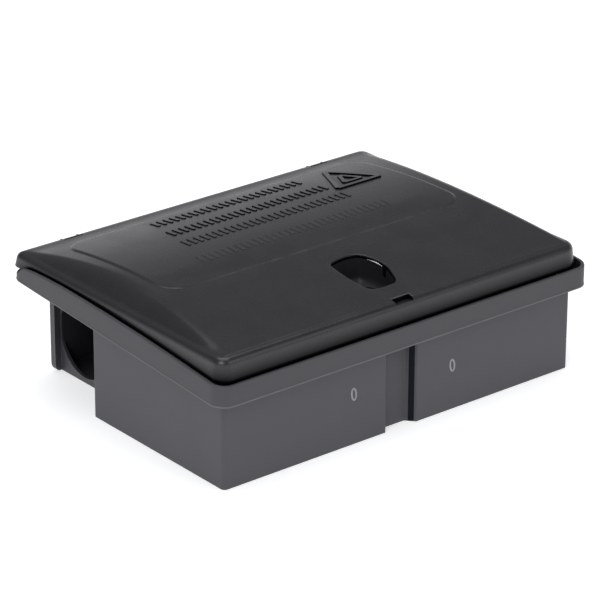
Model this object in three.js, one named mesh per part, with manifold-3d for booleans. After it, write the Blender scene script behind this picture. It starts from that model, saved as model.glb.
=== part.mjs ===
// Lockable rodent bait station: a moulded tub with side entries and a hinged, arched lid.
// Millimetres. +X to the right of the front face, +Y to the back, +Z up.
// The origin is on the floor, under the middle of the rim.
// The lid stands level, as an unlatched lid does, three degrees short of fully closed.

import * as THREE from 'three';
import { mergeVertices } from 'three/addons/utils/BufferGeometryUtils.js';
import Module from 'manifold-3d';

const wasm = await Module();
wasm.setup();

// ---------------------------------------------------------------- driving dimensions

const GAP = 0.3; // between pieces that rest on each other
const WALL = 2.2; // tub walls and floor

const tub = {
  left: -117.5, // ends of the bottom
  right: 119.4,
  front: -82.3,
  back: 89,
  alcoveFront: 29.5, // where the side walls step in
  alcoveHalf: 97.2, // half the distance between the two entry walls
  finHalf: 102.4, // half the length of the rear wall with its end fins
  finFront: 85, // the fins taper: their front at the tip, and at the wall
  finRoot: 86.8,
  finRadius: 5,
  cornerRadius: 2.5,
  drop: 6, // how far the walls run up past the underside of the ledge
};

const entry = { y: 65.4, z: 25.3, radius: 22.4 };
const groove = { halfMouth: 10.7, halfBack: 6.3, depth: 5 };

const rim = {
  halfLength: 125.95,
  halfWidth: 90.7,
  cornerRadius: 8.4,
  wall: 1.9,
  ledge: 1.7,
  frontUnderside: 49.8, // height of the ledge underside at the very front
  slope: 0.0635, // rise of the ledge for each millimetre towards the back
  // top edge of the band, as [y, z]: it rises, levels out and drops at the rear corners
  topEdge: [
    [-90.7, 61.9], [-85, 62.2], [-60, 64.7], [-30, 67.1], [0, 69], [25, 70.2], [45, 70.9], [60, 71],
    [75, 70.3], [80, 69.6], [85, 65], [90.7, 64.9],
  ],
};

const hinge = {
  y: 90.3,
  z: 69.2,
  spacing: 170, // between the middles of the two hinges
  pinRadius: 2,
  boreRadius: 2.3,
  earRadius: 2.9,
  earThickness: 3,
  knuckleRadius: 3.35,
  knuckleWidth: 12,
};

const lid = {
  centreX: -1, // the lid sits this far off centre within the play of its hinges
  halfLength: 122.3,
  front: -87.8,
  back: 93.5, // overhangs the rim's rear edge
  top: 74.6, // flat border
  cornerRadius: 7,
  edgeRadius: 3.4,
  skin: 2,
  skirtFront: 61.2, // heights of the skirt's lower edge
  skirtSide: 63.5,
  skirtBack: 67,
};

const arch = {
  halfLength: 117.9, // foot of the end bevels
  front: -82.8,
  back: 86.3,
  rise: 8.4,
  bevelRun: 0.95, // sideways run of the end bevels for each millimetre of height
};

const panel = { halfLength: 101.5, front: -18.5, back: 78, cornerRadius: 14, rise: 0.6 };
const slot = { x: -1.9, halfLength: 5.8, front: -86.4, back: -81.9, depth: 1.5 };
const slit = { halfLength: 6, y: 88.2, width: 1.3, depth: 0.9 };

const cup = {
  x: -1.3,
  y: -53,
  halfLength: 13.2,
  halfWidth: 17.2,
  cornerRadius: 7,
  wall: 1.6,
  floorTop: 64.4,
  flangeTop: 72.2,
  flange: 6,
  flangeThickness: 1.6,
  screwOffset: 3.1, // from the side of the cup to its two fixing screws
};

const plug = {
  radius: 8.5,
  height: 2.2,
  shaftRadius: 5.5,
  slotLength: 4.4,
  slotWidth: 1.8,
  slotDepth: 0.8,
};
const cam = { length: 21.4, halfWidth: 4, thickness: 2, hubRadius: 7 };
const strike = { halfLength: 15, front: -81.5, root: -75.6, back: -67, bottom: 51.6, top: 54 };

const baffle = { y: 38, thickness: 2, halfLength: 94.5, top: 55, doorX: 48, doorHalf: 20, doorTop: 40 };
const tray = { inner: 22, outer: 111.5, front: -76, back: 20, height: 20, wall: 1.6, radius: 6, lift: 0.3 };
const rod = { radius: 2, y: -26, z: 30, bend: 7, earHalf: 8, earTop: 35, notchHalf: 2.3 };
const block = { halfSize: 12, length: 32, gap: 5, bore: 2.4, edge: 2 };

// ---------------------------------------------------------------- materials

function plastic(color, roughness) {
  return new THREE.MeshStandardMaterial({ color, roughness, metalness: 0 });
}

function steel(color, roughness) {
  return new THREE.MeshStandardMaterial({ color, roughness, metalness: 1 });
}

const charcoalPlastic = () => plastic(0x4a4b4f, 0.62);
const glossBlackPlastic = () => plastic(0x1d1d20, 0.3);
const wellPlastic = () => plastic(0x121214, 0.15);
const greyPlastic = () => plastic(0x3a3c40, 0.5);
const trayPlastic = () => plastic(0x6c7076, 0.5);
const plugPlastic = () => plastic(0x2a2b2e, 0.4);
const brightSteel = () => steel(0xb9bcc0, 0.3);
const zincSteel = () => steel(0xa9adb0, 0.42);
const baitWax = () => plastic(0x2e6f8f, 0.6);

// ---------------------------------------------------------------- solid helpers

// A closed geometry as a solid that can be joined and cut.
function solid(geometry) {
  const bare = geometry.clone();
  bare.deleteAttribute('normal');
  bare.deleteAttribute('uv');
  const merged = mergeVertices(bare, 1e-4);
  const mesh = new wasm.Mesh({
    numProp: 3,
    vertProperties: new Float32Array(merged.attributes.position.array),
    triVerts: new Uint32Array(merged.index.array),
  });
  return new wasm.Manifold(mesh);
}

function part(name, body, material) {
  const result = body.getMesh();
  const geometry = new THREE.BufferGeometry();
  geometry.setAttribute('position', new THREE.BufferAttribute(new Float32Array(result.vertProperties), 3));
  geometry.setIndex(new THREE.BufferAttribute(new Uint32Array(result.triVerts), 1));
  geometry.computeVertexNormals();
  const mesh = new THREE.Mesh(geometry, material);
  mesh.name = name;
  return mesh;
}

function join(...bodies) {
  return bodies.reduce((sum, body) => sum.add(body));
}

// Points of an arc about (x, y), both ends included.
function arcPoints(x, y, radius, from, to, segments) {
  return Array.from({ length: segments + 1 }, (_, i) => {
    const angle = from + ((to - from) * i) / segments;
    return new THREE.Vector2(x + radius * Math.cos(angle), y + radius * Math.sin(angle));
  });
}

function circle(x, y, radius, segments = 24) {
  const step = (2 * Math.PI) / segments;
  return arcPoints(x, y, radius, 0, 2 * Math.PI - step, segments - 1);
}

// A polygon as a Shape, with every corner [x, y, radius] rounded by an arc.
function roundedShape(corners, quarterSegments = 5) {
  const count = corners.length;
  const points = corners.flatMap(([x, y, radius = 0], i) => {
    const here = new THREE.Vector2(x, y);
    if (radius === 0) return [here];
    const [beforeX, beforeY] = corners[(i + count - 1) % count];
    const [afterX, afterY] = corners[(i + 1) % count];
    const toBefore = new THREE.Vector2(beforeX, beforeY).sub(here).normalize();
    const toAfter = new THREE.Vector2(afterX, afterY).sub(here).normalize();
    const half = Math.acos(THREE.MathUtils.clamp(toBefore.dot(toAfter), -1, 1)) / 2;
    const turn = Math.PI - 2 * half;
    const middle = toBefore.clone().add(toAfter).normalize();
    const centre = here.clone().addScaledVector(middle, radius / Math.sin(half));
    const start = here.clone().addScaledVector(toBefore, radius / Math.tan(half));
    const from = start.sub(centre).angle();
    const sweep = toBefore.cross(toAfter) > 0 ? -turn : turn;
    const segments = Math.max(1, Math.round((quarterSegments * turn) / (Math.PI / 2)));
    return arcPoints(centre.x, centre.y, radius, from, from + sweep, segments);
  });
  return new THREE.Shape(points);
}

function rectangle(x0, y0, x1, y1, radius = 0) {
  return roundedShape([[x0, y0, radius], [x1, y0, radius], [x1, y1, radius], [x0, y1, radius]]);
}

function extrude(shape, depth, options = {}) {
  return new THREE.ExtrudeGeometry(shape, { depth, bevelEnabled: false, steps: 1, ...options });
}

// An upright prism from a plan outline.
function prismZ(shape, bottom, top) {
  return solid(extrude(shape, top - bottom).translate(0, 0, bottom));
}

// A prism along X from a side profile drawn as [y, z] points.
function prismX(shape, x0, x1) {
  const geometry = extrude(shape, x1 - x0);
  const turn = new THREE.Matrix4().set(0, 0, 1, x0, 1, 0, 0, 0, 0, 1, 0, 0, 0, 0, 0, 1);
  return solid(geometry.applyMatrix4(turn));
}

// A prism along Y from a front profile drawn as [x, z] points.
function prismY(shape, y0, y1) {
  const geometry = extrude(shape, y1 - y0);
  const turn = new THREE.Matrix4().set(1, 0, 0, 0, 0, 0, -1, y1, 0, 1, 0, 0, 0, 0, 0, 1);
  return solid(geometry.applyMatrix4(turn));
}

function box(x0, y0, z0, x1, y1, z1) {
  const geometry = new THREE.BoxGeometry(x1 - x0, y1 - y0, z1 - z0);
  return solid(geometry.translate((x0 + x1) / 2, (y0 + y1) / 2, (z0 + z1) / 2));
}

function rodX(radius, x0, x1, y, z, segments = 24) {
  const geometry = new THREE.CylinderGeometry(radius, radius, x1 - x0, segments);
  return solid(geometry.rotateZ(Math.PI / 2).translate((x0 + x1) / 2, y, z));
}

function rodZ(radius, x, y, z0, z1, segments = 24) {
  const geometry = new THREE.CylinderGeometry(radius, radius, z1 - z0, segments);
  return solid(geometry.rotateX(Math.PI / 2).translate(x, y, (z0 + z1) / 2));
}

function mirrored(body) {
  return body.mirror([1, 0, 0]);
}

// ---------------------------------------------------------------- tub

// Height of the ledge underside at a distance along the sloping rim.
function ledgeAt(y) {
  return rim.frontUnderside + rim.slope * (y + rim.halfWidth);
}

// Plan outline of the tub walls, moved inwards by the given amount.
function tubOutline(inset) {
  const left = tub.left + inset;
  const right = tub.right - inset;
  const alcoveX = tub.alcoveHalf - inset;
  const front = tub.front + inset;
  const step = tub.alcoveFront - inset;
  const back = tub.back - inset;
  const r = Math.max(tub.cornerRadius - inset, 0.4);
  const mouth = groove.halfMouth + inset * 0.4;
  const grooveBack = groove.halfBack + inset * 0.4;
  const depth = groove.depth;
  return roundedShape([
    [left, front, r], [-mouth, front, 0.8], [-grooveBack, front + depth, 0.8],
    [grooveBack, front + depth, 0.8], [mouth, front, 0.8], [right, front, r],
    [right, step, r], [alcoveX, step, r], [alcoveX, back, r], [-alcoveX, back, r],
    [-alcoveX, step, r], [left, step, r],
  ]);
}

// A prism along X between two heights that both follow the slope of the rim.
function slopingSlab(bottomOffset, topOffset) {
  const y = rim.halfWidth + 5;
  return prismX(roundedShape([
    [-y, ledgeAt(-y) + bottomOffset], [y, ledgeAt(y) + bottomOffset],
    [y, ledgeAt(y) + topOffset], [-y, ledgeAt(-y) + topOffset],
  ]), -150, 150);
}

function rimOutline(inset) {
  const x = rim.halfLength - inset;
  const y = rim.halfWidth - inset;
  return rectangle(-x, -y, x, y, rim.cornerRadius - inset);
}

function rimBand() {
  const profile = [
    ...rim.topEdge.slice().reverse(),
    [-rim.halfWidth, ledgeAt(-rim.halfWidth)],
    [rim.halfWidth, ledgeAt(rim.halfWidth)],
  ];
  const keep = prismX(roundedShape(profile), -150, 150);
  const ring = prismZ(rimOutline(0), 40, 80).subtract(prismZ(rimOutline(rim.wall), 39, 81));
  return ring.intersect(keep);
}

function tubWalls() {
  const outer = prismZ(tubOutline(0), 0, 70).intersect(slopingSlab(-80, rim.ledge));
  const inner = prismZ(tubOutline(WALL), WALL, 71);
  return outer.subtract(inner);
}

function ledge() {
  const plate = prismZ(rimOutline(0.4), 40, 80).intersect(slopingSlab(0, rim.ledge));
  return plate.subtract(prismZ(tubOutline(WALL), 39, 81));
}

// The rear wall stands out past the entry walls as a tapering fin at each end.
function rearFins() {
  const { finHalf, finFront, finRoot, finRadius, alcoveHalf, back } = tub;
  const elevation = roundedShape([
    [-finHalf, 0, finRadius], [finHalf, 0, finRadius], [finHalf, 64, 0], [-finHalf, 64, 0],
  ]);
  const plan = roundedShape([
    [-finHalf, finFront], [-alcoveHalf, finRoot], [alcoveHalf, finRoot], [finHalf, finFront],
    [finHalf, back], [-finHalf, back],
  ]);
  const wall = prismY(elevation, finFront - 1, back + 1).intersect(prismZ(plan, -1, 70));
  return wall.intersect(slopingSlab(-80, rim.ledge)).subtract(prismZ(tubOutline(WALL), WALL, 71));
}

// The round holes stop short of the fins and the rear wall, so that both stay whole.
function entryHoles() {
  const reach = tub.alcoveHalf + 0.3;
  const through = rodX(entry.radius, -reach, reach, entry.y, entry.z, 48);
  return through.intersect(box(-reach - 1, 0, 0, reach + 1, tub.finRoot - 0.15, 60));
}

function hingeEars() {
  const inBand = rim.halfWidth - 0.4;
  const front = hinge.y - hinge.earRadius;
  const back = hinge.y + hinge.earRadius;
  const top = hinge.z + hinge.earRadius;
  const profile = roundedShape([
    [front, ledgeAt(84) + 0.5, 0], [inBand, ledgeAt(88) + 0.5, 0], [inBand, 65.3, 0],
    [back, hinge.z - 1.4, 0.5], [back, top, 2.2], [front, top, 2.2],
  ]);
  const inner = hinge.knuckleWidth / 2 + 0.4;
  const centres = [-hinge.spacing / 2, hinge.spacing / 2].map((x) => x + lid.centreX);
  const ears = centres.flatMap((x) => [
    prismX(profile, x - inner - hinge.earThickness, x - inner),
    prismX(profile, x + inner, x + inner + hinge.earThickness),
  ]);
  const bores = centres.map((x) => rodX(hinge.boreRadius, x - 15, x + 15, hinge.y, hinge.z));
  return join(...ears).subtract(join(...bores));
}

// Moulded shelf behind the groove, which the lock's lever swings under.
function strikeShelf() {
  const root = ledgeAt(strike.front) + 0.4;
  return prismX(roundedShape([
    [strike.front, root], [strike.root, root], [strike.root, strike.bottom],
    [strike.back, strike.bottom], [strike.back, strike.top, 0.8], [strike.front, strike.top, 0.8],
  ]), -strike.halfLength, strike.halfLength);
}

// Upright rib between the two bait compartments, and guide ribs for the baffle.
function innerRibs() {
  const centre = box(-1, tub.front + groove.depth + 1, 1, 1, baffle.y - 1.6, 42);
  const ribs = [centre];
  const inside = tub.alcoveHalf - WALL;
  for (const y of [baffle.y - baffle.thickness / 2 - GAP - 1.4, baffle.y + baffle.thickness / 2 + GAP]) {
    ribs.push(box(inside - 2.6, y, 1, inside + 0.5, y + 1.4, 50));
    ribs.push(box(-inside - 0.5, y, 1, -inside + 2.6, y + 1.4, 50));
  }
  return join(...ribs);
}

function makeTub() {
  const body = join(tubWalls(), ledge(), rimBand(), rearFins(), strikeShelf(), hingeEars(), innerRibs());
  return part('base_tub', body.subtract(entryHoles()), charcoalPlastic());
}

// ---------------------------------------------------------------- tunnel baffle

function makeBaffle() {
  const bottom = WALL + GAP;
  const sill = bottom + 3;
  const spring = baffle.doorTop - baffle.doorHalf;
  const y0 = baffle.y - baffle.thickness / 2;
  const plate = prismY(rectangle(-baffle.halfLength, bottom, baffle.halfLength, baffle.top, 2),
    y0, y0 + baffle.thickness);
  const doorways = [-baffle.doorX, baffle.doorX].map((x) => prismY(new THREE.Shape([
    new THREE.Vector2(x - baffle.doorHalf, sill),
    new THREE.Vector2(x + baffle.doorHalf, sill),
    ...arcPoints(x, spring, baffle.doorHalf, 0, Math.PI, 20),
  ]), y0 - 1, y0 + baffle.thickness + 1));
  return part('tunnel_baffle', plate.subtract(join(...doorways)), greyPlastic());
}

// ---------------------------------------------------------------- bait trays, rods and blocks

function trayBody() {
  const { inner, outer, front, back, wall, radius } = tray;
  const bottom = WALL + tray.lift;
  const shell = prismZ(rectangle(inner, front, outer, back, radius), bottom, tray.height)
    .subtract(prismZ(rectangle(inner + wall, front + wall, outer - wall, back - wall, radius - wall),
      bottom + wall, tray.height + 1));
  const earProfile = roundedShape([
    [rod.y - rod.earHalf, bottom + 1, 0], [rod.y + rod.earHalf, bottom + 1, 0],
    [rod.y + rod.earHalf, rod.earTop, 3], [rod.y - rod.earHalf, rod.earTop, 3],
  ]);
  const notch = roundedShape([
    [rod.y - rod.notchHalf, rod.z - rod.notchHalf, 2.2],
    [rod.y + rod.notchHalf, rod.z - rod.notchHalf, 2.2],
    [rod.y + rod.notchHalf, rod.earTop + 2, 0],
    [rod.y - rod.notchHalf, rod.earTop + 2, 0],
  ]);
  const ears = join(prismX(earProfile, inner, inner + wall), prismX(earProfile, outer - wall, outer));
  return shell.add(ears).subtract(prismX(notch, inner - 1, outer + 1));
}

// A straight rod with one end turned up as a finger hold.
function rodBody() {
  const start = tray.inner - 3;
  const end = tray.outer + 2.6 - rod.radius;
  const path = new THREE.CurvePath();
  const at = (x, z) => new THREE.Vector3(x, rod.y, z);
  path.add(new THREE.LineCurve3(at(end, rod.z), at(start + 3, rod.z)));
  path.add(new THREE.QuadraticBezierCurve3(
    at(start + 3, rod.z), at(start, rod.z), at(start, rod.z + 3)));
  path.add(new THREE.LineCurve3(at(start, rod.z + 3), at(start, rod.z + rod.bend)));
  const round = new THREE.Shape(circle(0, 0, rod.radius, 16));
  return solid(extrude(round, 1, { extrudePath: path, steps: 24 }));
}

function blockBody(x0) {
  const { halfSize: h, edge: e } = block;
  const section = roundedShape([
    [rod.y - h, rod.z - h, e], [rod.y + h, rod.z - h, e],
    [rod.y + h, rod.z + h, e], [rod.y - h, rod.z + h, e],
  ]);
  section.holes.push(new THREE.Path(circle(rod.y, rod.z, block.bore)));
  const raw = prismX(section, x0, x0 + block.length);
  const notches = [1, 2].map((i) => {
    const x = x0 + (block.length * i) / 3;
    return box(x - 1, rod.y - h - 1, rod.z + h - 1.5, x + 1, rod.y + h + 1, rod.z + h + 1);
  });
  return raw.subtract(join(...notches));
}

function makeBait() {
  const pieces = [];
  const middle = (tray.inner + tray.outer) / 2;
  const starts = [middle - block.gap / 2 - block.length, middle + block.gap / 2];
  const rightTray = trayBody();
  const rightRod = rodBody();
  pieces.push(part('bait_tray_right', rightTray, trayPlastic()));
  pieces.push(part('bait_tray_left', mirrored(rightTray), trayPlastic()));
  pieces.push(part('bait_rod_right', rightRod, brightSteel()));
  pieces.push(part('bait_rod_left', mirrored(rightRod), brightSteel()));
  starts.forEach((x, i) => {
    pieces.push(part(`bait_block_${i + 1}`, mirrored(blockBody(x)), baitWax()));
    pieces.push(part(`bait_block_${i + 3}`, blockBody(x), baitWax()));
  });
  return pieces;
}

// ---------------------------------------------------------------- hinge pins

function makeHingePin(name, side) {
  const half = hinge.knuckleWidth / 2 + 0.4 + hinge.earThickness;
  const x = lid.centreX + (side * hinge.spacing) / 2;
  return part(name, rodX(hinge.pinRadius, x - half, x + half, hinge.y, hinge.z), brightSteel());
}

// ---------------------------------------------------------------- lid

function lidOutline(inset) {
  const x0 = lid.centreX - lid.halfLength + inset;
  const x1 = lid.centreX + lid.halfLength - inset;
  return rectangle(x0, lid.front + inset, x1, lid.back - inset, lid.cornerRadius - inset);
}

// A barrel vault along X, its ends sloped off, standing on the flat border.
function archBody(shrink) {
  const halfChord = (arch.back - arch.front) / 2;
  const middle = (arch.back + arch.front) / 2;
  const radius = (halfChord ** 2 + arch.rise ** 2) / (2 * arch.rise);
  const centreZ = lid.top + arch.rise - radius;
  const sweep = Math.asin(halfChord / radius);
  const profile = new THREE.Shape([
    ...arcPoints(middle, centreZ, radius - shrink, Math.PI / 2 - sweep, Math.PI / 2 + sweep, 28),
    new THREE.Vector2(arch.front + shrink, lid.top - 6),
    new THREE.Vector2(arch.back - shrink, lid.top - 6),
  ]);
  const half = arch.halfLength - shrink;
  const high = arch.rise + 2;
  const foot = -shrink;
  const ends = roundedShape([
    [-half, lid.top - 7], [half, lid.top - 7], [half, lid.top + foot],
    [half - high * arch.bevelRun, lid.top + foot + high],
    [-half + high * arch.bevelRun, lid.top + foot + high], [-half, lid.top + foot],
  ]);
  const vault = prismX(profile, -half, half);
  return vault.intersect(prismY(ends, arch.front, arch.back)).translate([lid.centreX, 0, 0]);
}

function panelBody() {
  const x0 = lid.centreX - panel.halfLength;
  const x1 = lid.centreX + panel.halfLength;
  const outline = rectangle(x0, panel.front, x1, panel.back, panel.cornerRadius);
  const raised = archBody(-panel.rise).intersect(prismZ(outline, lid.top, lid.top + 20));
  return raised.subtract(archBody(1));
}

function skirtTrim() {
  return prismX(roundedShape([
    [-100, 30, 0], [100, 30, 0], [100, lid.skirtBack, 0], [82, lid.skirtBack, 0],
    [80, lid.skirtSide, 0], [-60, lid.skirtSide - 0.9, 0], [-100, lid.skirtFront - 0.5, 0],
  ]), -150, 150);
}

function cupOutline(extra) {
  const x = cup.halfLength + extra;
  const y = cup.halfWidth + extra;
  return rectangle(cup.x - x, cup.y - y, cup.x + x, cup.y + y, cup.cornerRadius + extra);
}

function hingeCentres() {
  return [-1, 1].map((side) => lid.centreX + (side * hinge.spacing) / 2);
}

function lidBody() {
  const edge = {
    bevelEnabled: true, bevelThickness: lid.edgeRadius, bevelSize: lid.edgeRadius,
    bevelOffset: -lid.edgeRadius, bevelSegments: 4,
  };
  const bottom = 45;
  const outerBox = solid(extrude(lidOutline(0), lid.top - bottom - 2 * lid.edgeRadius, edge)
    .translate(0, 0, bottom + lid.edgeRadius));
  const hollow = prismZ(lidOutline(lid.skin), bottom - 1, lid.top - lid.skin).add(archBody(lid.skin));
  const earHalf = hinge.knuckleWidth / 2 + hinge.earThickness + 0.9;
  const notches = hingeCentres().map((x) =>
    box(x - earHalf, lid.back - lid.skin - 1, 50, x + earHalf, lid.back + 1, lid.top - lid.skin));
  const knuckles = hingeCentres().map((x) =>
    rodX(hinge.knuckleRadius, x - hinge.knuckleWidth / 2, x + hinge.knuckleWidth / 2, hinge.y, hinge.z));
  const webs = hingeCentres().map((x) => box(x - hinge.knuckleWidth / 2, hinge.y - 2.4, hinge.z,
    x + hinge.knuckleWidth / 2, hinge.y + 2.4, lid.top - 1));
  const bores = hingeCentres().map((x) =>
    rodX(hinge.boreRadius, x - hinge.knuckleWidth, x + hinge.knuckleWidth, hinge.y, hinge.z));
  const slits = hingeCentres().map((x) => box(x - slit.halfLength, slit.y - slit.width / 2,
    lid.top - slit.depth, x + slit.halfLength, slit.y + slit.width / 2, lid.top + 3));
  const frontSlot = box(slot.x - slot.halfLength, slot.front, lid.top - slot.depth,
    slot.x + slot.halfLength, slot.back, lid.top + 3);
  const bosses = [-1, 1].map((side) => rodZ(2.9, cupScrewX(side), cup.y, cup.flangeTop + GAP, 90));
  const pilots = [-1, 1].map((side) => rodZ(1.5, cupScrewX(side), cup.y, 69, 76.6, 12));
  return outerBox.add(archBody(0)).subtract(hollow).subtract(join(...notches))
    .subtract(skirtTrim()).add(panelBody()).add(join(...knuckles, ...webs))
    .add(join(...bosses).intersect(archBody(1)))
    .subtract(join(...bores, ...slits, ...pilots, frontSlot, prismZ(cupOutline(GAP), 50, 90)));
}

// ---------------------------------------------------------------- lock

// The well is a cup let into the lid from below, with a flange under the lid's skin.
function cupBody() {
  const shell = prismZ(cupOutline(0), cup.floorTop - cup.wall, cup.flangeTop + 2.2);
  const crown = prismZ(cupOutline(0), cup.flangeTop, 90).intersect(archBody(0.5));
  const flange = prismZ(cupOutline(cup.flange), cup.flangeTop - cup.flangeThickness, cup.flangeTop);
  const hollow = prismZ(cupOutline(-cup.wall), cup.floorTop, 95);
  const bossBottom = cup.floorTop - cup.wall - 1.6;
  const boss = rodZ(plug.radius + 2, cup.x, cup.y, bossBottom, cup.floorTop - 0.5);
  const bore = rodZ(plug.shaftRadius + GAP, cup.x, cup.y, 50, 90);
  const screwHoles = [-1, 1].map((side) => rodZ(1.6, cupScrewX(side), cup.y, 60, 90, 12));
  return join(shell, crown, flange, boss).subtract(hollow).subtract(join(bore, ...screwHoles));
}

function cupScrewX(side) {
  return cup.x + side * (cup.halfLength + cup.screwOffset);
}

function plugBody() {
  const bottom = cup.floorTop + GAP;
  const head = rodZ(plug.radius, cup.x, cup.y, bottom, bottom + plug.height);
  const shaft = rodZ(plug.shaftRadius, cup.x, cup.y, cup.floorTop - cup.wall - 1.6 - GAP, bottom + 1);
  const slots = [-1, 1].map((side) => {
    const x = cup.x + side * 4.2;
    return box(x - plug.slotWidth / 2, cup.y - plug.slotLength / 2, bottom + plug.height - plug.slotDepth,
      x + plug.slotWidth / 2, cup.y + plug.slotLength / 2, bottom + plug.height + 1);
  });
  const pilot = rodZ(1.4, cup.x, cup.y, 55, cup.floorTop, 12);
  return head.add(shaft).subtract(join(...slots, pilot));
}

const washerTop = cup.floorTop - cup.wall - 1.6 - GAP - 0.3;
const leverTop = washerTop - 1 - GAP;
const leverBottom = leverTop - cam.thickness;

function washerBody() {
  const ring = new THREE.Shape(circle(cup.x, cup.y, plug.shaftRadius + 2));
  ring.holes.push(new THREE.Path(circle(cup.x, cup.y, 1.9)));
  return prismZ(ring, washerTop - 1, washerTop);
}

// The lever points to the right when unlocked; a quarter turn brings it under the strike.
function leverBody() {
  const shape = roundedShape([
    [cup.x - cam.hubRadius, cup.y - cam.hubRadius, 5], [cup.x + 6, cup.y - cam.hubRadius, 3],
    [cup.x + 12, cup.y - cam.halfWidth, 2], [cup.x + cam.length, cup.y - cam.halfWidth, 2.5],
    [cup.x + cam.length, cup.y + cam.halfWidth, 2.5], [cup.x + 12, cup.y + cam.halfWidth, 2],
    [cup.x + 6, cup.y + cam.hubRadius, 3], [cup.x - cam.hubRadius, cup.y + cam.hubRadius, 5],
  ]);
  shape.holes.push(new THREE.Path(circle(cup.x, cup.y, 1.9)));
  return prismZ(shape, leverBottom, leverTop);
}

// A pan-head screw driven upwards: head at the bottom, plain shank above.
function screwBody(x, y, headTop, shankRadius, shankLength, headRadius, headHeight) {
  const profile = [
    [0, 0], [headRadius * 0.75, 0], [headRadius, headHeight * 0.45], [headRadius, headHeight],
    [shankRadius, headHeight], [shankRadius, headHeight + shankLength - 0.6],
    [shankRadius * 0.5, headHeight + shankLength], [0, headHeight + shankLength],
  ].map(([r, z]) => new THREE.Vector2(r, z));
  const turned = new THREE.LatheGeometry(profile, 20).rotateX(Math.PI / 2);
  const screw = solid(turned.translate(x, y, headTop - headHeight));
  const slotCut = box(x - headRadius, y - 0.4, headTop - headHeight - 1,
    x + headRadius, y + 0.4, headTop - headHeight + 0.7);
  return screw.subtract(slotCut);
}

function makeLock() {
  const cupScrew = (side) => screwBody(cupScrewX(side), cup.y,
    cup.flangeTop - cup.flangeThickness - GAP, 1.2, 4.6, 2.5, 1.6);
  return {
    fixed: [
      part('lock_cup', cupBody(), wellPlastic()),
      part('cup_screw_left', cupScrew(-1), zincSteel()),
      part('cup_screw_right', cupScrew(1), zincSteel()),
    ],
    turning: [
      part('lock_plug', plugBody(), plugPlastic()),
      part('plug_washer', washerBody(), zincSteel()),
      part('cam_lever', leverBody(), zincSteel()),
      part('cam_screw', screwBody(cup.x, cup.y, leverBottom - GAP, 1.1, 7, 3, 1.8), zincSteel()),
    ],
  };
}

// ---------------------------------------------------------------- assembly

const station = new THREE.Group();
station.add(makeTub(), makeBaffle(), ...makeBait());
station.add(makeHingePin('hinge_pin_left', -1), makeHingePin('hinge_pin_right', 1));

const lock = makeLock();
station.add(part('lid_shell', lidBody(), glossBlackPlastic()), ...lock.fixed, ...lock.turning);

export default station;
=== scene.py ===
"""Looks of the bait station: a matte charcoal tub under a glossy black arched lid."""

import math

import bpy
import numpy as np
from mathutils import Matrix, Vector


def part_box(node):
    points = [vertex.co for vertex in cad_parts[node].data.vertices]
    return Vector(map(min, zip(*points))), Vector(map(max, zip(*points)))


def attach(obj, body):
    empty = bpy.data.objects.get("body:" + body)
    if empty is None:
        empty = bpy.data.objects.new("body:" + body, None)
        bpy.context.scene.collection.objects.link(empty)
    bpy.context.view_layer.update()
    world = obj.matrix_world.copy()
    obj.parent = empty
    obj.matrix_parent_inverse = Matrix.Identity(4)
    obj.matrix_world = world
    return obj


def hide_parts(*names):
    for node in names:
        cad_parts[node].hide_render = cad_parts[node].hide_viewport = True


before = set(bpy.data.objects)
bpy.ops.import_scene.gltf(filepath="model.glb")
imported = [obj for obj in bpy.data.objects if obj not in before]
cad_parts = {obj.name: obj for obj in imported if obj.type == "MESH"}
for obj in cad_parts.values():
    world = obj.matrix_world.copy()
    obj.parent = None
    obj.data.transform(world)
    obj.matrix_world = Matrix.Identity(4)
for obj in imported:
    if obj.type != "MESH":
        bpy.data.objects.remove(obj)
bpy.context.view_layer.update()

MM = 0.001
IMAGE_PX = 600

# ------------------------------------------------------------------ sizes, in millimetres

TUB_LOW, TUB_HIGH = (np.array(corner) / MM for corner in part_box("base_tub"))
PIN_LOW, PIN_HIGH = (np.array(corner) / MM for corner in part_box("hinge_pin_left"))

RIM_X, RIM_Y = TUB_HIGH[0], -TUB_LOW[1]
RIM_RADIUS = 8.4
BAND_WALL = 1.9
BAND_TOP_RADII = (0.75, 0.4)  # outside, inside
BEAD_RISE, BEAD_PROUD = 0.55, 0.25
LEDGE = 1.7
LEDGE_REACH = 7.5
LEDGE_FRONT = 49.8
LEDGE_SLOPE = 0.0635
# height of the band's top edge, in steps along Y
BAND_TOP_Y = (-90.7, -85, -60, -30, 0, 25, 45, 60, 70, 75, 80, 85, 90.7)
BAND_TOP_Z = (61.7, 62.2, 64.6, 67.1, 69.0, 70.25, 70.95, 70.95, 70.6, 70.3, 69.6, 65.0, 64.9)

WALL = 2.2
TUB_LEFT, TUB_RIGHT = -117.5, 119.4
TUB_FRONT = -82.3
TUB_BACK = 89
ALCOVE_Y = 29.5
ALCOVE_X = 97.2
FIN_X = 102.4
FIN_FRONT, FIN_ROOT = 85, 86.8
FIN_RADIUS = 5
ENTRY_Y, ENTRY_Z, ENTRY_RADIUS = 65.4, 25.3, 22.4
GROOVE_MOUTH, GROOVE_BACK, GROOVE_DEPTH, GROOVE_RADIUS = 10.7, 6.3, 5, 0.9
STRIKE_HALF = 15
STRIKE_PROFILE = (
    (-81.5, 50.5), (-75.6, 50.5), (-75.6, 51.6), (-67, 51.6), (-67, 54, 0.8), (-81.5, 54, 0.8),
)
PARTITION = (-1, -76.5, 1, 1, 36.4, 42)
GUIDE_X, GUIDE_Y, GUIDE_WALL, GUIDE_TOP = (92.4, 95.5), (35.3, 39.3), 1.4, 50
# x, z of the two ovals left by the mould on the front face
GATE_MARKS = {"gate_mark_left": (-32.4, 28.7), "gate_mark_right": (35.2, 25.6)}
GATE_LEAN = 0.12

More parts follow.
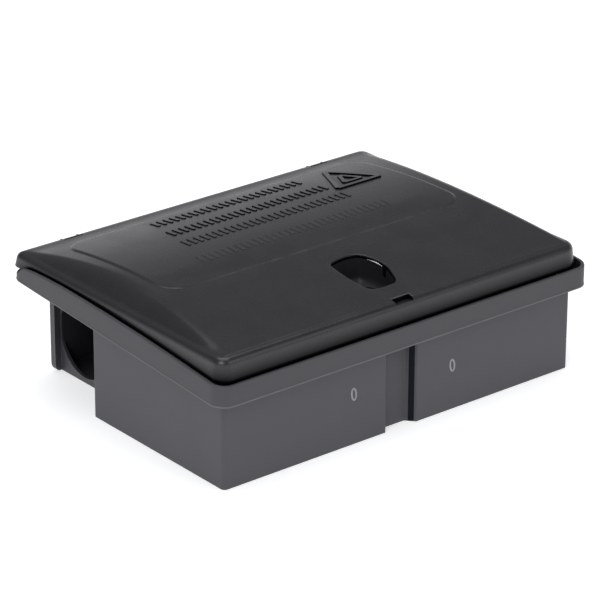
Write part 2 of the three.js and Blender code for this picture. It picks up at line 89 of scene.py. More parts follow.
HINGE_Y = (PIN_LOW[1] + PIN_HIGH[1]) / 2
HINGE_Z = (PIN_LOW[2] + PIN_HIGH[2]) / 2
HINGES_X = (-86, 84)
EAR_STARTS, EAR_WIDTH = (-9.4, 6.4), 3
EAR_HALF = 2.9
KNUCKLE_HALF, KNUCKLE_RADIUS, KNUCKLE_BORE = 6, 3.35, 2.3
WEB_WALL, WEB_HALF = 1.6, 2.4
LID_LEFT, LID_RIGHT = -123.4, 121.2
LID_FRONT, LID_BACK = -88.0, 93.5
LID_TOP = 74.6
LID_RADII = (9.5, 7, 5.5, 8)
LID_SKIN = 2
SHOULDER = 4.1
DRAFT = 0.8
SKIRT_EDGE = 0.5
# height of the skirt's lower edge, in steps along Y
SKIRT_Y = (-100, -60, 80, 82, 100)
SKIRT_Z = (60.9, 62.4, 63.4, 66.8, 66.8)

ARCH_X, ARCH_HALF = -0.6, 117.9
ARCH_FRONT, ARCH_BACK = -82.8, 86.3
ARCH_RISE = 8.4
BEVEL_RUN = 0.95
RIDGE_BLEND, CREASE_BLEND = 4, 1.2

NOTCH_HALF, NOTCH_REACH, NOTCH_TOP = 9.9, 4.3, 72.65
SLIT_HALF, SLIT_Y, SLIT_DEPTH = 6, (87.55, 88.85), 0.9
SLOT = (-7.7, -86.4, 3.9, -81.9)
SLOT_RADIUS, SLOT_DEPTH = 0.4, 1.5
SLOT_LIP = (
    (-8.4, -81.85), (3.95, -81.85), (3.95, -84.8), (4.4, -84.8), (4.4, -81.35), (-8.4, -81.35),
)

PANEL = (-102.5, -18.5, 100.5, 78)
PANEL_RADIUS = 14
PANEL_RISE = 0.6
# x0, x1, y0, y1, rise of each row of ribs
RIB_ROWS = (
    (-50, 52, 62, 70.5, 1.15), (-54, 55, 42.5, 51, 1.15), (-58, 56, 24.5, 33, 1.0),
    (-66, 65, 1, 9.5, 0.75),
)
RIB_PITCH, RIB_HALF, RIB_RADIUS = 4.2, 0.95, 0.7
# corners and half width of each triangle
TRIANGLES = ((((57, 39), (87, 39), (72, 69)), 1.4), (((66, 44), (78, 44), (72, 56)), 1.1))
TRIANGLE_RISE = 1.4
MARK_ROOT = 0.3

WELL_CENTRE = np.array((-1.3, -53))
WELL_FLOOR = 64.4
WELL_WALL, WELL_CORNER, WELL_BORE = 1.4, 5, 5.8
LIP_RADIUS = 0.8
BOSS_OFFSET, BOSS_RADIUS = 16.3, 2.9
# a bright steel sliver in the well that gives a painted highlight on its rim
SLIVER_RADIUS, SLIVER_DROP = 0.5, 1.3
SLIVER_FROM, SLIVER_TO = 0.06, 0.82  # angles round the well, in radians
# edge of the opening, anticlockwise from its rear left corner
WELL_EDGE = (
    (-12.2, -37.5), (-12.9, -42), (-13.2, -47.3), (-13.3, -53.9), (-12.7, -60.6), (-11.5, -66.4),
    (-9.1, -69.2), (-4.8, -70), (0.3, -69.9), (6.9, -69.4), (10.1, -61.8), (12.3, -55.6),
    (12.5, -50.2), (11.9, -45.9), (10.1, -40.7), (7.9, -36.7), (2.3, -35.2), (-2, -35.4),
    (-7.3, -36.2),
)


# ------------------------------------------------------------------ outlines and surfaces


def outline(x0, y0, x1, y1, radius, along_x=76, along_y=54, corner=10):
    """Points round a rectangle with rounded corners, anticlockwise from the front right corner.

    The radius is one number, or one for each corner: front right, rear right, rear left,
    front left.
    """
    a, b, c, d = np.broadcast_to(radius, 4)
    centres = (
        (x1 - a, y0 + a, a, -90), (x1 - b, y1 - b, b, 0),
        (x0 + c, y1 - c, c, 90), (x0 + d, y0 + d, d, 180),
    )

    def on_arc(index, degrees):
        cx, cy, r, start = centres[index]
        angle = math.radians(start + degrees)
        return np.array((cx + r * math.cos(angle), cy + r * math.sin(angle)))

    points = []
    for index in range(4):
        points += [on_arc(index, 90 * step / corner) for step in range(corner + 1)]
        side = along_y if index % 2 == 0 else along_x
        here, there = points[-1], on_arc((index + 1) % 4, 0)
        points += [here + (there - here) * step / side for step in range(1, side)]
    return np.array(points)


def inset_outline(x0, y0, x1, y1, radius, inset, **counts):
    radii = np.maximum(np.array(radius) - inset, 0.6)
    return outline(x0 + inset, y0 + inset, x1 - inset, y1 - inset, radii, **counts)


def smooth_min(a, b, width):
    blend = np.maximum(width - np.abs(a - b), 0) / width
    return np.minimum(a, b) - blend**2 * width / 4


def smooth_max(a, b, width):
    return -smooth_min(-a, -b, width)


def smooth_step(share):
    return share**2 * (3 - 2 * share)


def lid_height(x, y):
    """Top surface of the lid: border, barrel vault and sloped-off ends."""
    half_chord = (ARCH_BACK - ARCH_FRONT) / 2
    middle = (ARCH_BACK + ARCH_FRONT) / 2
    radius = (half_chord**2 + ARCH_RISE**2) / (2 * ARCH_RISE)
    offset = np.clip(y - middle, -radius, radius)
    vault = LID_TOP + ARCH_RISE - radius + np.sqrt(radius**2 - offset**2)
    ends = LID_TOP + (ARCH_HALF - np.abs(x - ARCH_X)) / BEVEL_RUN
    raised = smooth_min(vault, ends, RIDGE_BLEND)
    return smooth_max(raised, np.full_like(vault, LID_TOP), CREASE_BLEND)


def ledge_z(y):
    return LEDGE_FRONT + LEDGE_SLOPE * (y + 90.7)


# ------------------------------------------------------------------ mesh helpers


def add_mesh(name, points, faces, sharp=35):
    mesh = bpy.data.meshes.new(name)
    mesh.from_pydata((np.asarray(points, float) * MM).tolist(), [], faces)
    mesh.update()
    mesh.shade_smooth()
    mesh.set_sharp_from_angle(angle=math.radians(sharp))
    obj = bpy.data.objects.new(name, mesh)
    bpy.context.scene.collection.objects.link(obj)
    return obj


def ring_faces(rings, count, closed=False):
    """Quads between neighbouring rings of points, the last joined to the first if closed."""
    faces = []
    for i in range(rings if closed else rings - 1):
        a, b = i * count, ((i + 1) % rings) * count
        for j in range(count):
            k = (j + 1) % count
            faces.append((a + j, a + k, b + k, b + j))
    return faces


def ring_mesh(name, rings, closed=False, cap_start=False, cap_end=False, sharp=35):
    count = len(rings[0])
    faces = ring_faces(len(rings), count, closed)
    if cap_start:
        faces.append(tuple(reversed(range(count))))
    if cap_end:
        faces.append(tuple(range((len(rings) - 1) * count, len(rings) * count)))
    return add_mesh(name, np.vstack(rings), faces, sharp)


def with_height(plan, height):
    z = np.full(len(plan), float(height)) if np.isscalar(height) else height
    return np.column_stack((plan, z))


def prism(name, plan, low, high):
    """An upright prism; low and high are heights or functions of y."""
    plan = np.asarray(plan, float)
    rings = []
    for height in (low, high):
        z = height(plan[:, 1]) if callable(height) else height
        rings.append(with_height(plan, z))
    return ring_mesh(name, rings, cap_start=True, cap_end=True)


def prism_x(name, profile, x0, x1):
    """A prism along X from [y, z] points, anticlockwise as seen from +X."""
    profile = np.asarray(profile, float)
    rings = [np.column_stack((np.full(len(profile), x), profile)) for x in (x0, x1)]
    return ring_mesh(name, rings, cap_start=True, cap_end=True)


def box(name, x0, y0, z0, x1, y1, z1):
    return prism(name, ((x0, y0), (x1, y0), (x1, y1), (x0, y1)), z0, z1)


def disc(x, y, radius, count=96):
    angles = np.linspace(0, 2 * math.pi, count, endpoint=False)
    return np.column_stack((x + radius * np.cos(angles), y + radius * np.sin(angles)))


def fillet(corners, segments=6):
    """Rounds the corners [x, y, radius] of a polygon."""
    points = []
    count = len(corners)
    for i, corner in enumerate(corners):
        here = np.array(corner[:2], float)
        radius = corner[2] if len(corner) > 2 else 0
        if radius == 0:
            points.append(here)
            continue
        before = np.array(corners[i - 1][:2], float) - here
        after = np.array(corners[(i + 1) % count][:2], float) - here
        before /= np.linalg.norm(before)
        after /= np.linalg.norm(after)
        half = math.acos(np.clip(before @ after, -1, 1)) / 2
        middle = before + after
        centre = here + middle / np.linalg.norm(middle) * radius / math.sin(half)
        start = here + before * radius / math.tan(half) - centre
        end = here + after * radius / math.tan(half) - centre
        first = math.atan2(start[1], start[0])
        turn = math.atan2(end[1], end[0]) - first
        turn = (turn + math.pi) % (2 * math.pi) - math.pi
        for step in range(segments + 1):
            angle = first + turn * step / segments
            points.append(centre + radius * np.array((math.cos(angle), math.sin(angle))))
    return np.array(points)


def rounded_box(x0, y0, x1, y1, radius, segments=6):
    corners = ((x0, y0), (x1, y0), (x1, y1), (x0, y1))
    return fillet([(*corner, radius) for corner in corners], segments)


def apply_modifiers(obj):
    evaluated = obj.evaluated_get(bpy.context.evaluated_depsgraph_get())
    mesh = bpy.data.meshes.new_from_object(evaluated)
    obj.modifiers.clear()
    obj.data = mesh


def combine(target, tool, operation):
    modifier = target.modifiers.new("combine", "BOOLEAN")
    modifier.operation = operation
    modifier.solver = "EXACT"
    modifier.object = tool
    apply_modifiers(target)
    bpy.data.objects.remove(tool)


def cut(target, *tools):
    for tool in tools:
        combine(target, tool, "DIFFERENCE")


def merge(target, *others):
    """Joins the other meshes into the target as they are."""
    joined = [target, *others]
    points, faces, start = [], [], 0
    for obj in joined:
        points += [tuple(v.co / MM) for v in obj.data.vertices]
        faces += [tuple(start + i for i in p.vertices) for p in obj.data.polygons]
        start += len(obj.data.vertices)
    name = target.name
    for obj in joined:
        bpy.data.objects.remove(obj)
    return add_mesh(name, points, faces)


def soften(obj, width, segments=3, angle=35):
    """Rounds every hard edge a little, as moulded plastic has them."""
    weld = obj.modifiers.new("weld", "WELD")
    weld.merge_threshold = 1e-6
    bevel = obj.modifiers.new("bevel", "BEVEL")
    bevel.width = width * MM
    bevel.segments = segments
    bevel.limit_method = "ANGLE"
    bevel.angle_limit = math.radians(angle)
    bevel.miter_outer = "MITER_ARC"
    bevel.use_clamp_overlap = True
    normals = obj.modifiers.new("normals", "WEIGHTED_NORMAL")
    normals.keep_sharp = True
    return obj


# ------------------------------------------------------------------ materials


class Nodes:
    """A small helper that builds one procedural material."""

    def __init__(self, name):
        self.material = bpy.data.materials.new(name)
        self.material.use_nodes = True
        self.tree = self.material.node_tree
        self.shader = self.tree.nodes["Principled BSDF"]
        self.place = self.tree.nodes.new("ShaderNodeTexCoord").outputs["Object"]

    def link(self, source, target):
        self.tree.links.new(source, target)

    def noise(self, scale, detail, place=None):
        node = self.tree.nodes.new("ShaderNodeTexNoise")
        node.inputs["Scale"].default_value = scale
        node.inputs["Detail"].default_value = detail
        node.inputs["Roughness"].default_value = 0.55
        self.link(place or self.place, node.inputs["Vector"])
        return node.outputs["Fac"]

    def stretched(self, scale):
        node = self.tree.nodes.new("ShaderNodeMapping")
        node.inputs["Scale"].default_value = scale
        self.link(self.place, node.inputs["Vector"])
        return node.outputs["Vector"]

    def remap(self, value, low, high, to_low, to_high):
        node = self.tree.nodes.new("ShaderNodeMapRange")
        node.inputs["From Min"].default_value = low
        node.inputs["From Max"].default_value = high
        node.inputs["To Min"].default_value = to_low
        node.inputs["To Max"].default_value = to_high
        self.link(value, node.inputs["Value"])
        return node.outputs["Result"]

    def mix(self, factor, a, b):
        node = self.tree.nodes.new("ShaderNodeMix")
        node.data_type = "RGBA"
        self.link(factor, node.inputs["Factor"])
        for value, slot in ((a, node.inputs["A"]), (b, node.inputs["B"])):
            if isinstance(value, tuple):
                slot.default_value = (*value, 1)
            else:
                self.link(value, slot)
        return node.outputs["Result"]

    def painted_shade(self, distance, low, high, least):
        """Light for painted shade: from `least` in tight or enclosed places to 1 in the open."""
        node = self.tree.nodes.new("ShaderNodeAmbientOcclusion")
        node.samples = 8
        node.inputs["Distance"].default_value = distance * MM
        return self.remap(node.outputs["AO"], low, high, least, 1)

    def along(self, axis):
        split = self.tree.nodes.new("ShaderNodeSeparateXYZ")
        self.link(self.place, split.inputs["Vector"])
        return split.outputs[axis]

    def within(self, low, high):
        """1 between two corners of an upright box, 0 outside it."""
        inside = None
        for axis, least, most in zip("XYZ", low, high):
            ramps = (
                self.remap(self.along(axis), least * MM, (least + 0.5) * MM, 0, 1),
                self.remap(self.along(axis), (most - 0.5) * MM, most * MM, 1, 0),
            )
            for ramp in ramps:
                inside = ramp if inside is None else self.times(inside, ramp)
        return inside

    def times(self, a, b):
        node = self.tree.nodes.new("ShaderNodeMath")
        node.operation = "MULTIPLY"
        self.link(a, node.inputs[0])
        self.link(b, node.inputs[1])
        return node.outputs[0]

    def edges(self, radius):
        """1 along edges, where a rounded-off normal turns away from the true one."""
        bevel = self.tree.nodes.new("ShaderNodeBevel")
        bevel.samples = 4
        bevel.inputs["Radius"].default_value = radius * MM
        geometry = self.tree.nodes.new("ShaderNodeNewGeometry")
        match = self.tree.nodes.new("ShaderNodeVectorMath")
        match.operation = "DOT_PRODUCT"
        self.link(bevel.outputs["Normal"], match.inputs[0])
        self.link(geometry.outputs["Normal"], match.inputs[1])
        return self.remap(match.outputs["Value"], 0.99, 0.85, 0, 1)

    def bump(self, height, strength, distance, below=None):
        node = self.tree.nodes.new("ShaderNodeBump")
        node.inputs["Strength"].default_value = strength
        node.inputs["Distance"].default_value = distance * MM
        self.link(height, node.inputs["Height"])
        if below is not None:
            self.link(below, node.inputs["Normal"])
        return node.outputs["Normal"]


EDGE_HIGHLIGHT_GREY = 0.16  # grey that edges go towards, a painted highlight


def plastic(
    name, colour, roughness, grain, grain_depth, waviness, edge_highlight, tint=0.12, spread=0.05,
    painted_shade=None, shade_box=None, foot_shade=None, gloss=0.5,
):
    """Injection-moulded plastic: a faint cloudy tint, surface grain and paler edges.

    Painted shade darkens the colour and reflection of enclosed places, only inside the shade
    box if there is one, and the foot shade also paints shade on what lies low.
    """
    n = Nodes(name)
    darker = tuple(c * (1 - tint) for c in colour)
    lighter = tuple(c * (1 + tint) for c in colour)
    # painted highlight: edges go paler, in patches
    highlit_edge = tuple(c + (EDGE_HIGHLIGHT_GREY - c) * edge_highlight for c in colour)
    cloudy = n.mix(n.remap(n.noise(28, 5), 0.35, 0.65, 0, 1), darker, lighter)
    speckled = n.mix(n.remap(n.noise(1400, 2), 0.62, 0.75, 0, 0.35), cloudy, lighter)
    patchy_edge_highlight = n.times(n.edges(0.7), n.remap(n.noise(90, 3), 0.4, 0.62, 0.15, 1))
    surface = n.mix(patchy_edge_highlight, speckled, highlit_edge)
    n.shader.inputs["Specular IOR Level"].default_value = gloss
    if painted_shade:
        light = n.painted_shade(*painted_shade)
        if foot_shade:
            low, high, least = foot_shade
            light = n.times(light, n.remap(n.along("Z"), low * MM, high * MM, least, 1))
        # painted shade: colour dims to a tenth and reflection fades where light is short
        dark = n.remap(light, 0, 1, 1, 0)
        if shade_box:
            dark = n.times(dark, n.within(*shade_box))
        surface = n.mix(dark, surface, tuple(c * 0.1 for c in colour))
        n.link(n.remap(dark, 0, 1, gloss, 0), n.shader.inputs["Specular IOR Level"])
    n.link(surface, n.shader.inputs["Base Color"])
    n.link(
        n.remap(n.noise(60, 4), 0.3, 0.7, roughness - spread, roughness + spread),
        n.shader.inputs["Roughness"],
    )
    waves = n.bump(n.noise(16, 2), 1.0, waviness)
    n.link(n.bump(n.noise(grain, 3), 1.0, grain_depth, waves), n.shader.inputs["Normal"])
    return n.material


# painted shade: distance, openness that counts as none and as full, least light
ENCLOSED_SHADE = (150, 0.06, 0.4, 0.0)  # painted shade on the inside of the closed station
GAP_SHADE = (45, 0.6, 1.0, 0.03)  # painted shade in the gap between the lid's skirt and the rim
# heights over which painted shade on the lid's skirt fades out, and its least light
SKIRT_FOOT_SHADE = (62.5, 70, 0.2)
# corners of the box in which the tub's surfaces are indoors and take painted shade
INDOOR_SHADE_BOX = ((-96.6, -79, 1.5), (96.6, 88, 60))


def tub_material():
    # painted shade darkens the tub's enclosed surfaces inside the indoor box
    return plastic(
        "tub_plastic", (0.0515, 0.051, 0.059), 0.55, 900, 0.05, 0.008, 0.9, 0.03, 0.015,
        ENCLOSED_SHADE, INDOOR_SHADE_BOX,
    )


def band_material():
    # painted shade: a darker copy of the tub's plastic; edges go extra pale as a painted highlight
    return plastic(
        "band_plastic", (0.04, 0.039, 0.045), 0.55, 900, 0.04, 0.008, 1.5, 0.03, 0.015, ENCLOSED_SHADE
    )


def bead_highlight_material():
    # painted highlight: paler plastic for the bright line along the band's lower edge
    return plastic("bead_highlight_plastic", (0.085, 0.085, 0.09), 0.4, 2600, 0.004, 0.02, 0.8)


def lid_material():
    # painted shade darkens the skirt in the gap by the rim and towards its lower edge
    return plastic(
        "lid_plastic", (0.013, 0.0125, 0.0155), 0.27, 2600, 0.0016, 0.02, 0.2, 0.12, 0.04,
        GAP_SHADE, foot_shade=SKIRT_FOOT_SHADE,
    )


def lip_highlight_material():
    # painted highlight: a paler grey than the lid for the bright edge of the slot's lip
    return plastic("lip_highlight_plastic", (0.06, 0.06, 0.065), 0.25, 2600, 0.002, 0.02, 0.8)


def well_material():
    return plastic(
        "well_plastic", (0.014, 0.0135, 0.0155), 0.42, 2600, 0.003, 0.02, 0.1, gloss=0.35
    )


def groove_shade_material():
    # painted shade: near-black with almost no reflection, for the groove's dark right-hand wall
    return plastic(
        "groove_shade_plastic", (0.006, 0.008, 0.011), 0.45, 2600, 0.002, 0.02, 0.05, gloss=0.05
    )


def gate_material():
    return plastic("gate_plastic", (0.24, 0.245, 0.25), 0.55, 1800, 0.02, 0.02, 0.3)


def inner_material():
    # painted shade: darker than the tub's plastic, and darker still where enclosed
    return plastic(
        "inner_plastic", (0.045, 0.045, 0.05), 0.45, 1600, 0.008, 0.03, 0.3, painted_shade=ENCLOSED_SHADE
    )


def tray_material():
    return plastic("tray_plastic", (0.15, 0.16, 0.18), 0.42, 1700, 0.006, 0.03, 0.3)


def steel(name, colour, roughness, stretch):
    n = Nodes(name)
    n.shader.inputs["Metallic"].default_value = 1.0
    streaks = n.noise(300, 4, place=n.stretched(stretch))
    darker = tuple(c * 0.78 for c in colour)
    n.link(n.mix(streaks, darker, colour), n.shader.inputs["Base Color"])
    n.link(
        n.remap(streaks, 0.3, 0.7, roughness - 0.08, roughness + 0.12),
        n.shader.inputs["Roughness"],
    )
    n.link(n.bump(streaks, 1.0, 0.006), n.shader.inputs["Normal"])
    return n.material


def bait_material():
    n = Nodes("bait_wax")
    grain = n.noise(420, 5)
    flecks = n.remap(n.noise(900, 2), 0.6, 0.68, 0, 0.8)
    body = n.mix(n.remap(grain, 0.35, 0.65, 0, 1), (0.012, 0.07, 0.16), (0.03, 0.15, 0.3))
    n.link(n.mix(flecks, body, (0.35, 0.36, 0.3)), n.shader.inputs["Base Color"])
    n.link(n.remap(grain, 0.3, 0.7, 0.42, 0.7), n.shader.inputs["Roughness"])
    n.link(n.bump(grain, 1.0, 0.25), n.shader.inputs["Normal"])
    n.shader.inputs["Subsurface Weight"].default_value = 0.1
    n.shader.inputs["Subsurface Scale"].default_value = 0.001
    return n.material


def paint(obj, material):
    obj.data.materials.clear()
    obj.data.materials.append(material)
    return obj


# ------------------------------------------------------------------ tub


def tub_outline(inset):
    left, right, side = TUB_LEFT + inset, TUB_RIGHT - inset, ALCOVE_X - inset
    front, step, back = TUB_FRONT + inset, ALCOVE_Y - inset, TUB_BACK - inset
    r = max(2.5 - inset, 0.4)
    mouth, half = GROOVE_MOUTH + inset * 0.4, GROOVE_BACK + inset * 0.4
    deep, groove_r = front + GROOVE_DEPTH, GROOVE_RADIUS
    return fillet((
        (left, front, r), (-mouth, front, groove_r), (-half, deep, groove_r),
        (half, deep, groove_r), (mouth, front, groove_r), (right, front, r),
        (right, step, r), (side, step, r), (side, back, r), (-side, back, r),
        (-side, step, r), (left, step, r),
    ))


def rim_plan(inset):
    return inset_outline(
        -RIM_X, -RIM_Y, RIM_X, RIM_Y, RIM_RADIUS, inset, along_x=60, along_y=80, corner=14
    )


def build_fins(top):
    """The rear wall's ends, which taper outwards past the entry walls."""
    plan = (
        (-FIN_X, FIN_FRONT), (-ALCOVE_X, FIN_ROOT), (ALCOVE_X, FIN_ROOT), (FIN_X, FIN_FRONT),
        (FIN_X, TUB_BACK), (-FIN_X, TUB_BACK),
    )
    fins = prism("fins", plan, 0, top)
    elevation = fillet((
        (-FIN_X, 0, FIN_RADIUS), (FIN_X, 0, FIN_RADIUS), (FIN_X, 90), (-FIN_X, 90),
    ))
    rings = [
        np.column_stack((elevation[:, 0], np.full(len(elevation), y), elevation[:, 1]))
        for y in (TUB_BACK + 1, FIN_FRONT - 1)
    ]
    combine(fins, ring_mesh("elevation", rings, cap_start=True, cap_end=True), "INTERSECT")
    return fins


def build_entry():
    """The round entry holes as one long rod, flat where it meets the rear wall."""
    circle = disc(ENTRY_Y, ENTRY_Z, ENTRY_RADIUS)
    circle[:, 0] = np.minimum(circle[:, 0], FIN_ROOT - 0.15)
    return prism_x("entry", circle, -ALCOVE_X - 0.3, ALCOVE_X + 0.3)


def build_tub():
    def mid_ledge(y):
        return ledge_z(y) + LEDGE / 2

    def ledge_top(y):
        return ledge_z(y) + LEDGE

    tub = prism("tub_moulding", tub_outline(0), 0, mid_ledge)
    combine(tub, build_fins(mid_ledge), "UNION")
    combine(tub, prism("ledge", rim_plan(0.9), ledge_z, ledge_top), "UNION")
    cut(tub, prism("hollow", tub_outline(WALL), WALL, 90), build_entry())
    extras = [
        prism_x("strike", fillet(STRIKE_PROFILE), -STRIKE_HALF, STRIKE_HALF),
        box("partition", *PARTITION),
    ]
    for side in (-1, 1):
        for y in GUIDE_Y:
            x0, x1 = sorted(side * x for x in GUIDE_X)
            extras.append(box("guide", x0, y, 1, x1, y + GUIDE_WALL, GUIDE_TOP))
    ear_back, ear_front = HINGE_Y + EAR_HALF, HINGE_Y - EAR_HALF
    ear = fillet((
        (ear_front, 61.5), (RIM_Y - 0.4, 61.8), (RIM_Y - 0.4, 65.3),
        (ear_back, HINGE_Z - 1.4, 0.5), (ear_back, HINGE_Z + EAR_HALF, 2.2),
        (ear_front, HINGE_Z + EAR_HALF, 2.2),
    ))
    for hinge in HINGES_X:
        for start in EAR_STARTS:
            extras.append(prism_x("ear", ear, hinge + start, hinge + start + EAR_WIDTH))
    return soften(merge(tub, *extras), 0.5)


def build_band():
    """The rim: an upright band with rounded edges and a ledge reaching in to the tub."""
    def section(y):
        low, high = ledge_z(y), np.interp(y, BAND_TOP_Y, BAND_TOP_Z)
        outside, inside = BAND_TOP_RADII
        turns = [math.radians(90 * step / 5) for step in range(6)]
        points = [
            (LEDGE_REACH, low), (0.5, low), (0.15, low + 0.15), (0, low + 0.5), (0, low + 1.15),
        ]
        points += [(0, low + (high - low) * share) for share in (0.35, 0.65)]
        points += [
            (outside * (1 - math.cos(turn)), high - outside * (1 - math.sin(turn)))
            for turn in turns
        ]
        points += [
            (BAND_WALL - inside * (1 - math.sin(turn)), high - inside * (1 - math.cos(turn)))
            for turn in turns
        ]
        points += [(BAND_WALL, low + LEDGE + 1), (BAND_WALL + 0.3, low + LEDGE + 0.3)]
        points += [(BAND_WALL + 1, low + LEDGE), (LEDGE_REACH, low + LEDGE)]
        return points

    sections = [section(y) for y in rim_plan(0)[:, 1]]
    rings = []
    for k, (inset, _) in enumerate(sections[0]):
        rings.append(with_height(rim_plan(inset), np.array([s[k][1] for s in sections])))
    return ring_mesh("rim_band", rings, closed=True, sharp=50)


def build_bead():
    """A fine raised line that runs round the lower edge of the band."""
    half_width, half_height = 0.45, 0.5
    middle = ledge_z(rim_plan(0)[:, 1]) + BEAD_RISE
    rings = []
    for turn in np.linspace(0, 2 * math.pi, 10, endpoint=False):
        plan = rim_plan(half_width - BEAD_PROUD - half_width * math.cos(turn))
        rings.append(with_height(plan, middle + half_height * math.sin(turn)))
    return ring_mesh("rim_bead", rings, closed=True, sharp=80)


def build_groove_shade_facing():
    """A near-black thin facing on the right-hand wall of the front groove: painted shade."""
    inner, outer = np.array((7.7, TUB_FRONT + 3.4)), np.array((9.8, TUB_FRONT + 1.02))
    along = (outer - inner) / np.linalg.norm(outer - inner)
    proud = np.array((along[1], -along[0])) * 0.12
    plan = (inner + proud, outer + proud, outer - proud * 3, inner - proud * 3)
    return prism("groove_shade_facing", plan, 0.3, LEDGE_FRONT + 0.2)


def build_gate_mark(name, x, z):
    """A raised oval ring left by the mould on the front face."""
    count, tube = 40, 10
    angles = np.linspace(0, 2 * math.pi, count, endpoint=False)
    c, s = math.cos(GATE_LEAN), math.sin(GATE_LEAN)
    rings = []
    for j in range(tube):
        turn = 2 * math.pi * j / tube
        out, up = 0.62 * math.cos(turn), 0.32 * math.sin(turn)
        px = (1.45 + out) * np.cos(angles)
        pz = (3.3 + out) * np.sin(angles)
        rings.append(np.column_stack((
            x + px * c - pz * s, np.full(count, TUB_FRONT - up), z + px * s + pz * c
        )))
    return ring_mesh(name, rings, closed=True, sharp=80)


# ------------------------------------------------------------------ lid


def lid_plan(inset):
    return inset_outline(LID_LEFT, LID_FRONT, LID_RIGHT, LID_BACK, LID_RADII, inset)


def rounded(points, passes):
    """Cuts the corners of a closed outline, a few times over."""
    points = np.array(points, float)
    for _ in range(passes):
        after = np.roll(points, -1, axis=0)
        points = np.stack((points * 0.75 + after * 0.25, points * 0.25 + after * 0.75), 1)
        points = points.reshape(-1, 2)
    return points


def well_plan(grow):
    """The opening of the lock well, with as many points as the lid's outline."""
    edge = rounded(WELL_EDGE, 2) - WELL_CENTRE
    angles = np.arctan2(edge[:, 1], edge[:, 0])
    order = np.argsort(angles)
    spread = outline(-13, -17, 13, 17, 6)
    ways = np.arctan2(spread[:, 1], spread[:, 0])
    reach = np.interp(ways, angles[order], np.hypot(*edge.T)[order], period=2 * math.pi) + grow
    return WELL_CENTRE + np.column_stack((reach * np.cos(ways), reach * np.sin(ways)))


def surface_ring(plan, drop=0.0):
    return with_height(plan, lid_height(plan[:, 0], plan[:, 1]) - drop)


def skirt_bottom(y):
    return np.interp(y, SKIRT_Y, SKIRT_Z)


def lid_rings():
    """From the lower edge of the well opening, over the top, round the skirt and back under."""
    field = 15.5
    rings = [surface_ring(well_plan(0), LID_SKIN)]
    for step in range(6):
        angle = math.radians(90 * step / 5)
        plan = well_plan(LIP_RADIUS * (1 - math.cos(angle)))
        rings.append(surface_ring(plan, LIP_RADIUS * (1 - math.sin(angle))))
    inner, outer = well_plan(LIP_RADIUS), lid_plan(field)
    shares = np.linspace(0, 1, 37)[1:-1]
    rings += [surface_ring(inner + (outer - inner) * share) for share in shares]
    crown = DRAFT + SHOULDER
    rings += [surface_ring(lid_plan(inset)) for inset in np.arange(field, crown + 0.2, -0.4)]
    for step in range(11):
        angle = math.radians(90 * step / 10)
        inset = DRAFT + SHOULDER * (1 - math.sin(angle))
        rings.append(with_height(lid_plan(inset), LID_TOP - SHOULDER * (1 - math.cos(angle))))
    for share in (0.25, 0.5, 0.75, 1.0):
        plan = lid_plan(DRAFT * (1 - share))
        high, low = LID_TOP - SHOULDER, skirt_bottom(plan[:, 1]) + SKIRT_EDGE
        rings.append(with_height(plan, high + (low - high) * share))
    for inset, rise in ((0.15, 0.15), (0.5, 0), (1.5, 0), (1.85, 0.15), (2.0, SKIRT_EDGE)):
        plan = lid_plan(inset)
        rings.append(with_height(plan, skirt_bottom(plan[:, 1]) + rise))
    for inset, z in ((2.4, 69.6), (2.6, 71.6), (3.1, 72.3), (4.2, LID_TOP - LID_SKIN)):
        rings.append(with_height(lid_plan(inset), z))
    rings += [surface_ring(lid_plan(inset), LID_SKIN) for inset in np.arange(5, field, 1)]
    shares = np.linspace(0, 0.97, 16)
    rings += [surface_ring(outer + (inner - outer) * share, LID_SKIN) for share in shares]
    return rings


def build_lid():
    lid = ring_mesh("lid_moulding", lid_rings(), closed=True, sharp=50)
    tools = []
    for hinge in HINGES_X:
        tools.append(box(
            "notch", hinge - NOTCH_HALF, LID_BACK - NOTCH_REACH, 50,
            hinge + NOTCH_HALF, LID_BACK + 2, NOTCH_TOP,
        ))
        tools.append(box(
            "slit", hinge - SLIT_HALF, SLIT_Y[0], LID_TOP - SLIT_DEPTH,
            hinge + SLIT_HALF, SLIT_Y[1], LID_TOP + 3,
        ))
    tools.append(prism("slot", rounded_box(*SLOT, SLOT_RADIUS), LID_TOP - SLOT_DEPTH, LID_TOP + 4))
    cut(lid, *tools)
    lid.data.shade_smooth()
    lid.data.set_sharp_from_angle(angle=math.radians(50))
    return lid


def build_slot_lip():
    """A raised lip along the rear and right of the small slot at the lid's front."""
    lip = raised_mark(SLOT_LIP, -0.3, 0.4)
    lip.name = "slot_lip"
    return soften(lip, 0.15, 3, 50)


def build_lid_underside():
    """Hinge knuckles with their webs, and the two bosses the well is screwed to."""
    count = 48
    ring = disc(HINGE_Y, HINGE_Z, KNUCKLE_RADIUS, count)
    hole = disc(HINGE_Y, HINGE_Z, KNUCKLE_BORE, count)
    bodies = []
    for hinge in HINGES_X:
        left, right = hinge - KNUCKLE_HALF, hinge + KNUCKLE_HALF
        rings = [
            np.column_stack((np.full(count, x), plan))
            for plan, x in ((ring, left), (ring, right), (hole, right), (hole, left))
        ]
        bodies.append(ring_mesh("knuckle", rings, closed=True))
        for x0 in (left, right - WEB_WALL):
            bodies.append(box(
                "web", x0, HINGE_Y - WEB_HALF, HINGE_Z + 2.5,
                x0 + WEB_WALL, HINGE_Y + WEB_HALF, 73.5,
            ))
    for side in (-1, 1):
        x = WELL_CENTRE[0] + side * BOSS_OFFSET
        bodies.append(prism("boss", disc(x, WELL_CENTRE[1], BOSS_RADIUS, 40), 72.5, 77.5))
    lugs = merge(*bodies)
    lugs.name = "lid_lugs"
    return soften(lugs, 0.25, 2)


